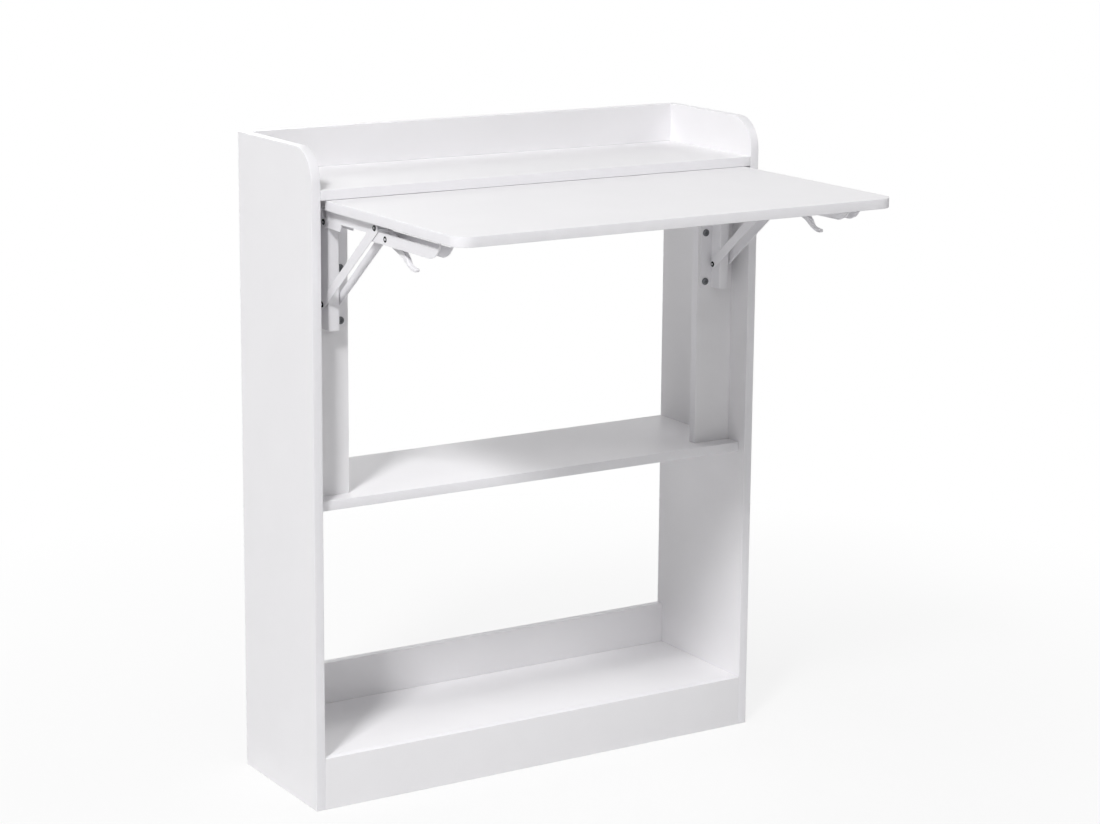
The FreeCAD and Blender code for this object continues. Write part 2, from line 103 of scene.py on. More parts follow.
def melamine_paper():
    """Melamine paper pressed on board: an even white, satin, with a fine pebble from the press plate.

    The pebble is about 0.4 mm on the real board, and is drawn at 1.6 mm so that it shows.
    """
    pebble, cloud = 1.6 * mm, 70 * mm
    material, tree, place = start_material("melamine_paper")
    tint = add(tree, "ShaderNodeTexNoise", {"Vector": place, "Scale": 1 / cloud, "Detail": 3.0})
    white = add(tree, "ShaderNodeMix", {
        "Factor": tint.outputs["Fac"], "A": colour("#EAE9EB"), "B": colour("#EEEDEF"),
    }, data_type="RGBA")
    grain = add(tree, "ShaderNodeTexNoise", {"Vector": place, "Scale": 1 / pebble, "Detail": 2.0})
    gloss = add(tree, "ShaderNodeMapRange", {"Value": grain.outputs["Fac"], "To Min": 0.40, "To Max": 0.50})
    relief = add(tree, "ShaderNodeBump", {
        "Height": grain.outputs["Fac"], "Strength": 0.05, "Distance": 0.1 * mm,
    })
    skin = add(tree, "ShaderNodeBsdfPrincipled", {
        "Base Color": white.outputs["Result"], "Roughness": gloss.outputs["Result"], "IOR": 1.5,
        "Normal": relief.outputs["Normal"],
    })
    add(tree, "ShaderNodeOutputMaterial", {"Surface": skin.outputs["BSDF"]})
    return material


def edge_tape():
    """Extruded ABS edge tape: a slightly cooler white than the paper, smoother, with faint 6 mm waves."""
    wave = 6 * mm
    material, tree, place = start_material("edge_tape")
    sway = add(tree, "ShaderNodeTexNoise", {"Vector": place, "Scale": 1 / wave, "Detail": 2.0})
    white = add(tree, "ShaderNodeMix", {
        "Factor": sway.outputs["Fac"], "A": colour("#EAE9EC"), "B": colour("#EDECEF"),
    }, data_type="RGBA")
    gloss = add(tree, "ShaderNodeMapRange", {"Value": sway.outputs["Fac"], "To Min": 0.32, "To Max": 0.42})
    relief = add(tree, "ShaderNodeBump", {
        "Height": sway.outputs["Fac"], "Strength": 0.06, "Distance": 0.1 * mm,
    })
    skin = add(tree, "ShaderNodeBsdfPrincipled", {
        "Base Color": white.outputs["Result"], "Roughness": gloss.outputs["Result"], "IOR": 1.52,
        "Normal": relief.outputs["Normal"],
    })
    add(tree, "ShaderNodeOutputMaterial", {"Surface": skin.outputs["BSDF"]})
    return material


def rounded_outline(corners, radii, steps=8):
    """Closed outline of a polygon, anticlockwise, with every corner turned into an arc.

    A corner's arc starts radius times the tangent of half the turn before it, and its outward normal
    sweeps evenly from one edge's normal to the next. Returns the points and the normals.
    """
    corners = np.asarray(corners, float)
    radii = np.broadcast_to(radii, len(corners)).astype(float)
    along = np.roll(corners, -1, axis=0) - corners
    leaving = along / np.linalg.norm(along, axis=1, keepdims=True)
    coming = np.roll(leaving, 1, axis=0)
    leftward = coming[:, 0] * leaving[:, 1] - coming[:, 1] * leaving[:, 0]
    turn = np.arctan2(leftward, (coming * leaving).sum(axis=1))
    outward = np.stack((coming[:, 1], -coming[:, 0]), axis=1)
    signed = radii * np.sign(turn)
    centres = corners - coming * (radii * np.tan(np.abs(turn) / 2))[:, None] - outward * signed[:, None]
    sweep = turn[:, None] * np.linspace(0, 1, steps + 1)
    normals = np.stack((
        outward[:, :1] * np.cos(sweep) - outward[:, 1:] * np.sin(sweep),
        outward[:, :1] * np.sin(sweep) + outward[:, 1:] * np.cos(sweep),
    ), axis=-1)
    points = centres[:, None] + signed[:, None, None] * normals
    return points.reshape(-1, 2), normals.reshape(-1, 2)


def skin_rings(name, rings, finishes, bands=None):
    """Closed mesh through a stack of closed rings, an array of rings by points by 3, with flat end caps.

    Faces run from each point to the next point and the next ring, and are turned if the volume comes out
    negative. Bands pick a finish for the first cap, for each step from ring to ring, and for the last cap.
    """
    count, points = rings.shape[:2]
    index = np.arange(count * points).reshape(count, points)
    ahead = np.roll(index, -1, axis=1)
    walls = np.stack((index[:-1], ahead[:-1], ahead[1:], index[1:]), axis=-1).reshape(-1, 4)
    caps = [index[0, ::-1], index[-1]]
    places = rings.reshape(-1, 3)
    middle = places.mean(axis=0)
    first, second, third = (places[walls[:, number]] - middle for number in (0, 1, 2))
    if np.einsum("ij,ij->i", first, np.cross(second, third)).sum() < 0:
        walls = walls[:, ::-1]
        caps = [cap[::-1] for cap in caps]
    mesh = bpy.data.meshes.new(name)
    mesh.from_pydata(places, [], [*walls.tolist(), *(cap.tolist() for cap in caps)])
    mesh.set_sharp_from_angle(angle=crease_angle)
    smooth = np.ones(len(mesh.polygons), bool)
    smooth[-2:] = False
    mesh.polygons.foreach_set("use_smooth", smooth)
    for finish in finishes:
        mesh.materials.append(finish)
    bands = np.zeros(count + 1, np.int32) if bands is None else np.asarray(bands, np.int32)
    mesh.polygons.foreach_set("material_index", np.append(np.repeat(bands[1:-1], points), bands[[0, -1]]))
    piece = bpy.data.objects.new(name, mesh)
    bpy.context.scene.collection.objects.link(piece)
    return piece


def on_axes(flat, levels, axes):
    """Rings on three named axes: levels along the third, and a flat outline on the first two.

    There is one outline for all the levels, or one to each.
    """
    levels = np.asarray(levels)[:, None, None]
    flat = np.broadcast_to(flat, (len(levels), *flat.shape[-2:]))
    rings = np.empty((*flat.shape[:2], 3))
    across, up, along = ("xyz".index(axis) for axis in axes)
    rings[..., [across, up]] = flat
    rings[..., [along]] = levels
    return rings


def plate_rings(outline, low, high, axes, ease):
    """Rings of a plate: the outline carried from low to high along the last of three axes, with eased edges.

    The ease is a quarter circle: the outline is drawn in by ease times one minus the sine of the turn
    while it rises by ease times one minus the cosine, and the same in mirror at the other face.
    """
    points, normals = outline
    turn = np.linspace(0, math.pi / 2, ease_steps)
    drawn_in = ease * np.concatenate((1 - np.sin(turn), 1 - np.cos(turn)))
    levels = np.concatenate((low + ease * (1 - np.cos(turn)), high - ease * (1 - np.sin(turn))))
    return on_axes(points - drawn_in[:, None, None] * normals, levels, axes)


def box_outline(node, axes, corner_radii):
    """Outline of a node's box on the first two of three axes, anticlockwise from the lowest corner."""
    low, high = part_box(node)
    across, up = ("xyz".index(axis) for axis in axes[:2])
    lower = (low[across], low[up]), (high[across], low[up])
    upper = (high[across], high[up]), (low[across], high[up])
    return rounded_outline(lower + upper, corner_radii)


def stand_for(piece, node):
    """Let a piece ride with a node's body in the node's place."""
    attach(piece, frame["nodes"][node]["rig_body"])
    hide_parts(node)
    return piece


def board(node, axes, corner_radii=board_corner):
    """A board in place of its node, with paper on its two faces and tape round its edges."""
    low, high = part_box(node)
    third = "xyz".index(axes[2])
    outline = box_outline(node, axes, corner_radii)
    rings = plate_rings(outline, low[third], high[third], axes, board_ease)
    bands = np.zeros(len(rings) + 1)
    bands[[0, -1]] = 1
    piece = skin_rings(node + "_board", rings, (white_tape, white_paper), bands)
    return stand_for(piece, node)


white_paper = melamine_paper()
white_tape = edge_tape()
for hand in sides:
    board(hand + "_side_panel", "yzx", (board_corner, board_corner, board_corner, panel_corner))

# Shelves, rails and kick board: the same board, sawn square and held between the panels.
# Dowels and cam bolts in their ends draw them up, and the cams lie in round pockets underneath or behind.
cam_inset = 24 * mm
cam_radius = 6 * mm
cam_depth = 9.5 * mm
cam_clearance = 0.25 * mm
cam_overrun = 1 * mm
cam_chamfer = 0.06
cam_cross = np.array((0.56, 0.13, 0.22, -0.03))
cam_face_steps = 16
cross_turns = 64
core = 0.02
shelf_cam_shares = (0.12, 0.85)
rail_cam_share = 0.3


def turned_rings(profile, turns=48):
    """Rings of a turned piece about Z: each row of the profile gives a radius and a height.

    A profile doesn't reach the axis: it stops at the core, a small share of the radius, for the cap.
    """
    radius, height = np.asarray(profile, float).T
    angle = np.linspace(0, 2 * math.pi, turns, endpoint=False)
    rings = np.empty((len(radius), turns, 3))
    rings[..., 0] = radius[:, None] * np.cos(angle)
    rings[..., 1] = radius[:, None] * np.sin(angle)
    rings[..., 2] = height[:, None]
    return rings


def set_along(rings, centre, direction):
    """Rings made about Z, turned so that Z points in a direction, and moved to a centre."""
    turn = Vector(direction).to_track_quat("Z", "Y").to_matrix()
    return rings @ np.array(turn).T + np.array(centre)


def cross_recess(rings, arm, slot, depth, below):
    """Press a cross into the rings above a level: it sinks by the depth, with a short ramp at its edges.

    Arm is half the length of the cross, and slot is half the width of its arms.
    """
    across, along = np.abs(rings[..., 0]), np.abs(rings[..., 1])
    ramp = 0.35 * slot
    first = np.clip((slot - across) / ramp, 0, 1) * np.clip((arm - along) / ramp, 0, 1)
    second = np.clip((slot - along) / ramp, 0, 1) * np.clip((arm - across) / ramp, 0, 1)
    sunk = rings.copy()
    sunk[..., 2] -= np.where(rings[..., 2] > below, depth * np.maximum(first, second), 0)
    return sunk


def bore(piece, tools, operation="DIFFERENCE"):
    """Cut each tool out of a piece, or keep only what both share, as the piece's own mesh; the tools go."""
    for tool in tools:
        cut = piece.modifiers.new("bore", "BOOLEAN")
        cut.object = tool
        cut.operation = operation
        cut.solver = "EXACT"
    graph = bpy.context.evaluated_depsgraph_get()
    piece.data = bpy.data.meshes.new_from_object(piece.evaluated_get(graph), depsgraph=graph)
    piece.data.set_sharp_from_angle(angle=crease_angle)
    piece.modifiers.clear()
    for tool in tools:
        bpy.data.objects.remove(tool)


def cast_zinc():
    """Die-cast zinc: dull grey metal with a fine cast grain about half a millimetre across."""
    grain = 0.5 * mm
    material, tree, place = start_material("cast_zinc")
    speckle = add(tree, "ShaderNodeTexNoise", {"Vector": place, "Scale": 1 / grain, "Detail": 3.0})
    grey = add(tree, "ShaderNodeMix", {
        "Factor": speckle.outputs["Fac"], "A": colour("#8E9092"), "B": colour("#B4B6B8"),
    }, data_type="RGBA")
    gloss = add(tree, "ShaderNodeMapRange", {"Value": speckle.outputs["Fac"], "To Min": 0.42, "To Max": 0.6})
    relief = add(tree, "ShaderNodeBump", {
        "Height": speckle.outputs["Fac"], "Strength": 0.25, "Distance": 0.05 * mm,
    })
    skin = add(tree, "ShaderNodeBsdfPrincipled", {
        "Base Color": grey.outputs["Result"], "Roughness": gloss.outputs["Result"], "Metallic": 1.0,
        "Normal": relief.outputs["Normal"],
    })
    add(tree, "ShaderNodeOutputMaterial", {"Surface": skin.outputs["BSDF"]})
    return material


def cam(name, centre, direction):
    """A cam in its pocket: a disc with a chamfered rim and a cross recess, a hair below the board's face.

    The chamfer is a share of the rim's radius, and so are the cross's arm, slot, depth and level.
    """
    rim = cam_radius - cam_clearance
    face = np.linspace(core, 1 - cam_chamfer, cam_face_steps) * rim
    profile = np.vstack((
        np.column_stack((face, np.zeros(cam_face_steps))),
        ((rim, -cam_chamfer * rim), (rim, -cam_depth), (core * rim, -cam_depth)),
    ))
    rings = cross_recess(turned_rings(profile, cross_turns), *(cam_cross * rim))
    rings = set_along(rings, np.array(centre) - cam_clearance * np.array(direction), direction)
    stand_for(skin_rings(name, rings, (grey_zinc,)), "cam_discs")


def drill(centre, direction, radius, above, below):
    """A round tool along a direction, from so far above a centre to so far below it."""
    profile = ((core * radius, above), (radius, above), (radius, -below), (core * radius, -below))
    return skin_rings("drill", set_along(turned_rings(profile), centre, direction), (white_tape,))


grey_zinc = cast_zinc()
shelves = ("top_shelf", "middle_shelf", "bottom_shelf")
uprights = ("kick_board", "lower_back_rail", "upper_back_rail")
for node in (*shelves, *uprights):
    low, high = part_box(node)
    if node in shelves:
        piece = board(node, "xyz")
        facing = (0, 0, -1)
        spots = [(low.y + share * (high.y - low.y), low.z) for share in shelf_cam_shares]
    else:
        piece = board(node, "zxy")
        facing = (0, 1, 0)
        spots = [(high.y, low.z + rail_cam_share * (high.z - low.z))]
    centres = [(side * (high.x - cam_inset), *spot) for side in sides.values() for spot in spots]
    bore(piece, [drill(centre, facing, cam_radius, cam_overrun, cam_depth) for centre in centres])
    for number, centre in enumerate(centres):
        cam(f"{node}_cam_{number}", centre, facing)

# Dowels and cam bolts: beech pegs and zinc plated bolts, out of sight in the ends of the boards.
# Their solids are all that is needed, so they only take their finishes.


def beech():
    """Turned beech: pale brown with short dark flecks along the peg, 3 mm long and 0.4 mm wide."""
    fleck_length, fleck_width = 3 * mm, 0.4 * mm
    material, tree, place = start_material("beech")
    drawn = add(tree, "ShaderNodeMapping", {
        "Vector": place, "Scale": (1 / fleck_length, 1 / fleck_width, 1 / fleck_width),
    })
    flecks = add(tree, "ShaderNodeTexNoise", {
        "Vector": drawn.outputs["Vector"], "Scale": 1.0, "Detail": 2.0,
    })
    brown = add(tree, "ShaderNodeMix", {
        "Factor": flecks.outputs["Fac"], "A": colour("#C79B6B"), "B": colour("#E0BD90"),
    }, data_type="RGBA")
    skin = add(tree, "ShaderNodeBsdfPrincipled", {"Base Color": brown.outputs["Result"], "Roughness": 0.62})
    add(tree, "ShaderNodeOutputMaterial", {"Surface": skin.outputs["BSDF"]})
    return material


def bright_zinc():
    """Bright zinc plate on steel: pale metal, cloudy over a few millimetres, with a fine grained gloss."""
    cloud, grain = 4 * mm, 0.3 * mm
    material, tree, place = start_material("bright_zinc")
    haze = add(tree, "ShaderNodeTexNoise", {"Vector": place, "Scale": 1 / cloud, "Detail": 2.0})
    pale = add(tree, "ShaderNodeMix", {
        "Factor": haze.outputs["Fac"], "A": colour("#BFC1C4"), "B": colour("#D6D7D8"),
    }, data_type="RGBA")
    speckle = add(tree, "ShaderNodeTexNoise", {"Vector": place, "Scale": 1 / grain, "Detail": 1.0})
    gloss = add(tree, "ShaderNodeMapRange", {"Value": speckle.outputs["Fac"], "To Min": 0.24, "To Max": 0.4})
    skin = add(tree, "ShaderNodeBsdfPrincipled", {
        "Base Color": pale.outputs["Result"], "Roughness": gloss.outputs["Result"], "Metallic": 1.0,
    })
    add(tree, "ShaderNodeOutputMaterial", {"Surface": skin.outputs["BSDF"]})
    return material


def refinish(node, finish):
    """Give its finish to a node whose own solid shows."""
    slots = frame["nodes"][node].data.materials
    slots.clear()
    slots.append(finish)


plated_steel = bright_zinc()
refinish("wood_dowels", beech())
refinish("cam_bolts", plated_steel)

# Posts: narrow strips of the same board, dowelled between the middle and the top shelf.
# They stand back from the front, and carry the brackets.
for hand in sides:
    board(hand + "_post", "zxy")

# Desk leaf: one board with rounded corners, taped all round, that tucks under the top shelf when it is open.
# It is screwed from below to the two slotted arms.
leaf_front_corner = 22 * mm
leaf_back_corner = 6 * mm
board("desk_leaf", "xyz", (leaf_front_corner, leaf_front_corner, leaf_back_corner, leaf_back_corner))

# Wall arms: channels folded from 1.2 mm steel sheet, web to the front, with one flange against the post.
# Powder coated white after folding, so the bends are round and the coat has a slight orange peel.
steel = 1.2 * mm
sheet_ease = 0.25 * mm
cut_corner = 0.35 * mm
inner_bend = 0.9 * mm
outer_bend = inner_bend + steel


def powder_coat():
    """White powder coat on steel: half gloss, with a shallow orange peel about 2 mm across."""
    peel = 2 * mm
    material, tree, place = start_material("powder_coat")
    waves = add(tree, "ShaderNodeTexNoise", {"Vector": place, "Scale": 1 / peel, "Detail": 1.0})
    white = add(tree, "ShaderNodeMix", {
        "Factor": waves.outputs["Fac"], "A": colour("#E8E7EA"), "B": colour("#ECEBEE"),
    }, data_type="RGBA")
    gloss = add(tree, "ShaderNodeMapRange", {"Value": waves.outputs["Fac"], "To Min": 0.30, "To Max": 0.40})
    relief = add(tree, "ShaderNodeBump", {
        "Height": waves.outputs["Fac"], "Strength": 0.08, "Distance": 0.1 * mm,
    })
    skin = add(tree, "ShaderNodeBsdfPrincipled", {
        "Base Color": white.outputs["Result"], "Roughness": gloss.outputs["Result"], "IOR": 1.5,
        "Normal": relief.outputs["Normal"],
    })
    add(tree, "ShaderNodeOutputMaterial", {"Surface": skin.outputs["BSDF"]})
    return material


def middle_of(node):
    """Middle of a node's box."""
    return sum(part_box(node), Vector()) / 2


def bracket_middle(hand):
    """Where the middle plane of a bracket lies along X: half way through its slotted arm."""
    return middle_of(hand + "_table_arm").x


def mirrored(outline, hand):
    """An outline in offsets towards the panel, set on its bracket; on the left its direction is reversed."""
    points, normals = (array.copy() for array in outline)
    points[:, 0] = bracket_middle(hand) + sides[hand] * points[:, 0]
    normals[:, 0] *= sides[hand]
    return points, normals


white_coat = powder_coat()
for hand in sides:
    node = hand + "_wall_arm"
    low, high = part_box(node)
    half, reach = sorted(abs(end.x - bracket_middle(hand)) for end in (low, high))
    web, back = low.y, high.y
    section = (
        (-reach, back - steel), (-half, back - steel), (-half, web), (half, web), (half, back),
        (half - steel, back), (half - steel, web + steel), (steel - half, web + steel), (steel - half, back),
        (-reach, back),
    )
    bends = (
        cut_corner, inner_bend, outer_bend, outer_bend, cut_corner,
        cut_corner, inner_bend, inner_bend, outer_bend, cut_corner,
    )
    outline = mirrored(rounded_outline(section, bends), hand)
    rings = plate_rings(outline, low.z, high.z, "xyz", sheet_ease)
    stand_for(skin_rings(node + "_channel", rings, (white_coat,)), node)

# Slotted arms: channels folded from the same sheet, open downwards, and screwed up into the leaf.
# The walls are blanked first, with an ear round the hinge, a step for the strut, the slot and a round nose.
# Ear and nose corners go by distance ahead of the hinge or the tip, rise above the hinge, and radius.
arm_tip = 6.5 * mm
slot_half = 3.3 * mm
slot_steps = 16
nearly_round = 0.98
ear_hole_ahead = 2.2 * mm
ear_hole_rise = 10 * mm
ear_hole_radius = 5 * mm
pin_hole_radius = 2.65 * mm
overrun = 5 * mm
ear_corners = np.array((
    (-6.5, 22, 1), (-6.5, -6, 4), (41.5, -6, 0.5), (44, 2.5, 0.5), (105, 2.5, 0.5), (107.5, -6, 0.5),
)) * mm
nose_corners = np.array(((-21, -6, 14), (-9.5, -1.2, 14), (0, 9.5, 10), (0, 22, 1))) * mm


def through_tool(points, low, high):
    """A prism with an outline in Y and Z that goes right through a bracket along X, as a tool."""
    rings = on_axes(points, (low.x - overrun, high.x + overrun), "yzx")
    return skin_rings("tool", rings, (white_coat,))


for hand in sides:
    node = hand + "_table_arm"
    low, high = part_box(node)
    half = (high.x - low.x) / 2
    foot = low.z - overrun
    section = np.array((
        (-half, foot), (steel - half, foot), (steel - half, high.z - steel), (half - steel, high.z - steel),
        (half - steel, foot), (half, foot), (half, high.z), (-half, high.z),
    ))
    bends = (cut_corner, cut_corner, inner_bend, inner_bend, cut_corner, cut_corner, outer_bend, outer_bend)
    points, _ = rounded_outline(section + (bracket_middle(hand), 0), bends)
    rings = on_axes(points, (low.y - overrun, high.y + overrun), "xzy")
    channel = skin_rings(node + "_channel", rings, (white_coat,))
    hinge, slide, lever = (middle_of(hand + name) for name in ("_hinge_pin", "_slide_pin", "_lever_pin"))
    out, rise, radii = np.vstack((ear_corners, nose_corners + (hinge.y - low.y, 0, 0))).T
    blank, _ = rounded_outline(np.column_stack((hinge.y - out, hinge.z + rise)), radii)
    bore(channel, [through_tool(blank, low, high)], "INTERSECT")
    front, back = low.y + arm_tip - slot_half, slide.y + slot_half
    slot_low, slot_high = slide.z - slot_half, slide.z + slot_half
    slot_corners = ((front, slot_low), (back, slot_low), (back, slot_high), (front, slot_high))
    slot, _ = rounded_outline(slot_corners, nearly_round * slot_half, slot_steps)
    holes = (
        (hinge.y, hinge.z, pin_hole_radius), (lever.y, lever.z, pin_hole_radius),
        (hinge.y - ear_hole_ahead, hinge.z + ear_hole_rise, ear_hole_radius),
    )
    reach = half + overrun
    bore(channel, [
        through_tool(slot, low, high),
        *(drill((bracket_middle(hand), y, z), (1, 0, 0), radius, reach, reach) for y, z, radius in holes),
    ])
    stand_for(channel, node)

# Struts: two flat bars of coated steel to each bracket, from a pin in the wall arm up to the slot.
# Blanked with round ends, a little wider at the top, with the edges tumbled smooth.
foot_radius = 5.5 * mm
top_radius = 5.8 * mm
top_belly = 7.8 * mm
for hand in sides:
    foot = middle_of(hand + "_strut_pin")
    top = middle_of(hand + "_strut_rivets")
    rise = np.array((top.y - foot.y, top.z - foot.z))
    rise /= np.linalg.norm(rise)
    aside = np.array((-rise[1], rise[0]))
    lower, upper = np.array((foot.y, foot.z)), np.array((top.y, top.z))
    corners = (
        lower + foot_radius * (aside - rise), lower - foot_radius * (aside + rise),
        upper + top_radius * (rise - aside), upper + top_radius * rise + top_belly * aside,
    )
    radii = nearly_round * np.array((foot_radius, foot_radius, top_radius, top_radius))
    for place in ("outer", "inner"):
        node = f"{hand}_strut_{place}_bar"
        low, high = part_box(node)
        rings = plate_rings(rounded_outline(corners, radii), low.x, high.x, "yzx", sheet_ease)
        stand_for(skin_rings(node + "_blank", rings, (white_coat,)), node)

# Release levers: flat fingers of coated steel between the walls of the slotted arms, each on its own pin.
# Blanked from 6 mm plate with tumbled edges; a hook at the back end catches the slide pin.
# The outline goes by shares of the reach ahead of the pin and of the drop below it.
lever_reach = 59.2 * mm
lever_drop = 29.5 * mm
lever_ease = 0.7 * mm
lever_shares = np.array((
    (-0.243, 0.184), (0.046, 0.184), (0.324, 0.058), (0.532, -0.33), (0.665, -0.533), (0.723, -0.713),
    (0.764, -0.79), (0.879, -0.839), (1.0, -0.868), (0.99, -1.0), (0.902, -0.989), (0.81, -0.94),
    (0.694, -0.843), (0.631, -0.766), (0.567, -0.679), (0.486, -0.591), (0.347, -0.494), (0.069, -0.3),
    (-0.243, -0.136),
))
lever_radii = np.array((1, 1, 4, 4, 4, 2, 4, 4, 1.8, 1.8, 4, 4, 4, 4, 4, 4, 4, 2, 1)) * mm
for hand in sides:
    node = hand + "_release_lever"
    low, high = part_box(node)
    pin = middle_of(hand + "_lever_pin")
    corners = np.array((pin.y, pin.z)) + lever_shares * (-lever_reach, lever_drop)
    rings = plate_rings(rounded_outline(corners, lever_radii), low.x, high.x, "yzx", lever_ease)
    stand_for(skin_rings(node + "_finger", rings, (white_coat,)), node)

# Lever springs: torsion springs coiled from round zinc plated wire.
# Each sits on a lever pin between the walls of the slotted arm, and holds the lever's hook down.
wire_radius = 0.55 * mm
wire_points = 12
coils = 4
coil_steps = 40
for hand in sides:
    node = hand + "_lever_spring"
    low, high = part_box(node)
    coil_radius = (high.z - low.z) / 2 - wire_radius
    centre = middle_of(node)
    turn = np.linspace(0, 2 * math.pi * coils, coil_steps * coils)[:, None]
    round_wire = np.linspace(0, 2 * math.pi, wire_points, endpoint=False)[None]
    reach = coil_radius + wire_radius * np.cos(round_wire)
    travel = (high.x - low.x - 2 * wire_radius) * (turn / turn.max() - 0.5)
    rings = np.stack((
        centre.x + travel + wire_radius * np.sin(round_wire),
        centre.y + reach * np.cos(turn),
        centre.z + reach * np.sin(turn),
    ), axis=-1)
    stand_for(skin_rings(node + "_coil", rings, (plated_steel,)), node)

# Pins and rivets: hinge pins, foot pins and strut rivets with heads rolled over into a ring.
# The rims are coloured near black: painted shade, the dark of the gap round each pin end.
# Hinge pins and rivets have bare, dished ends; the ends of foot pins and lever pins took the white coat.
# The lever pins have only a thin, near flat ring of the same painted shade at each end, and the slide pins
# are plain.
shank_radius = 2.5 * mm
rivet_head = 1 * mm
bare_eye = (0.46, 0.55)
coated_eye = (0.38, 0.8)
eye_bands = 3
lever_ring_radius = 3.7 * mm
lever_ring_rise = 0.12 * mm
pin_chamfer = 0.4 * mm


def painted_gap_shade():
    """Painted shade for the rims of the pin heads: near black metal, satin, a little paler in random
    patches.
    """
    rub = 1.5 * mm
    material, tree, place = start_material("painted_gap_shade")
    patches = add(tree, "ShaderNodeTexNoise", {"Vector": place, "Scale": 1 / rub, "Detail": 2.0})
    dark = add(tree, "ShaderNodeMix", {
        "Factor": patches.outputs["Fac"], "A": colour("#161718"), "B": colour("#2A2B2D"),
    }, data_type="RGBA")
    gloss = add(tree, "ShaderNodeMapRange", {"Value": patches.outputs["Fac"], "To Min": 0.34, "To Max": 0.5})
    skin = add(tree, "ShaderNodeBsdfPrincipled", {
        "Base Color": dark.outputs["Result"], "Roughness": gloss.outputs["Result"], "Metallic": 1.0,
    })
    add(tree, "ShaderNodeOutputMaterial", {"Surface": skin.outputs["BSDF"]})
    return material


def rolled_head(radius, shoulder, rise, eye):
    """Profile of a rolled head from its middle to its shoulder: a dished end, a round rim and a short drop.

    The eye is the dished end's share of the radius and of the rise; the rim's steps are shares of the rest.
    """
    width, level = eye
    dish = ((core, level), (0.65 * width, level), (width, level + 0.05))
    rim = np.array((
        (0.07, 0.90), (0.22, 0.97), (0.40, 1.0), (0.63, 0.92),
        (0.85, 0.68), (0.97, 0.35), (1.0, 0.12), (0.98, 0.0),
    ))
    shares = np.vstack((dish, np.column_stack((width + (1 - width) * rim[:, 0], rim[:, 1]))))
    return np.column_stack((radius * shares[:, 0], shoulder + rise * shares[:, 1]))


def rolled_pin(node, name, shoulder, rise, ring_radius, eye, finish):
    """A pin along X through a node's box, with a rolled head beyond each shoulder and a finish on its eyes.

    An eye's bands are its flat cap and the two steps round it.
    """
    head = rolled_head(ring_radius, shoulder, rise, eye)
    stem = ((shank_radius, shoulder), (shank_radius, -shoulder))
    profile = np.vstack((head, stem, head[::-1] * (1, -1)))
    bands = np.ones(len(profile) + 1)
    bands[:eye_bands] = 0
    bands[-eye_bands:] = 0
    rings = set_along(turned_rings(profile), middle_of(node), (1, 0, 0))
    # The rims take the near black painted shade; the eyes take the given finish.
    stand_for(skin_rings(name, rings, (finish, gap_shade_rims), bands), node)


# Near black painted shade for the rims, standing in for the dark gap round each pin end.
gap_shade_rims = painted_gap_shade()
for hand in sides:
    for name, eye, finish in (("hinge", bare_eye, plated_steel), ("strut", coated_eye, white_coat)):
        node = f"{hand}_{name}_pin"
        low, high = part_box(node)
        shoulder, ring_radius = (high.x - low.x) / 2 - rivet_head, (high.z - low.z) / 2
        rolled_pin(node, node + "_rolled", shoulder, rivet_head, ring_radius, eye, finish)
    node = hand + "_lever_pin"
    low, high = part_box(node)
    shoulder = (high.x - low.x) / 2
    # A thin, near flat ring of painted shade round each lever pin end.
    rolled_pin(node, node + "_ringed", shoulder, lever_ring_rise, lever_ring_radius, coated_eye, white_coat)
    node = hand + "_strut_rivets"
    low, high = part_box(node)
    ring_radius = (high.z - low.z) / 2
    bar_low, bar_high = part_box(hand + "_strut_outer_bar")
    bar = bar_high.x - bar_low.x
    head = rolled_head(ring_radius, bar, rivet_head, bare_eye)
    profile = np.vstack((head, ((shank_radius, bar), (shank_radius, 0), (core * shank_radius, 0))))
    bands = np.ones(len(profile) + 1)
    bands[:eye_bands] = 0
    for name, outside, direction in (("low", low.x, -1), ("high", high.x, 1)):
        start = (outside - direction * (bar + rivet_head), *middle_of(node).yz)
        rings = set_along(turned_rings(profile), start, (direction, 0, 0))
        # The rivet rims take the near black painted shade.
        rivet = skin_rings(f"{node}_{name}", rings, (plated_steel, gap_shade_rims), bands)
        stand_for(rivet, node)
    node = hand + "_slide_pin"
    low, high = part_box(node)
    half, radius = (high.x - low.x) / 2, (high.z - low.z) / 2
    profile = (
        (core * radius, half), (radius - pin_chamfer, half), (radius, half - pin_chamfer),
        (radius, pin_chamfer - half), (radius - pin_chamfer, -half), (core * radius, -half),
    )
    rings = set_along(turned_rings(profile), middle_of(node), (1, 0, 0))
    stand_for(skin_rings(node + "_turned", rings, (plated_steel,)), node)

# Screws: pan heads with a cross recess, in dull dark zinc; four hold the wall arms to the posts,
# and eight more go up through the slotted arms into the leaf.
post_screw_offset = 17.2 * mm
post_screw_low = 8 * mm
post_screw_pitch = 63.5 * mm
post_screw = {"head_radius": 4.7 * mm, "head_rise": 2.2 * mm, "stem_radius": 2 * mm, "bite": 11.2 * mm}
leaf_screw_shares = (0.12, 0.3, 0.62, 0.9)
leaf_screw = {"head_radius": 3.5 * mm, "head_rise": 1.2 * mm, "stem_radius": 1.5 * mm, "bite": 10.2 * mm}
dome_power = 0.7
dome_steps = 26
dome_start = 0.004
blunt_point = 0.1
cross_arm, cross_slot = 0.55, 0.14
cross_depth, cross_level = 0.5, 0.4


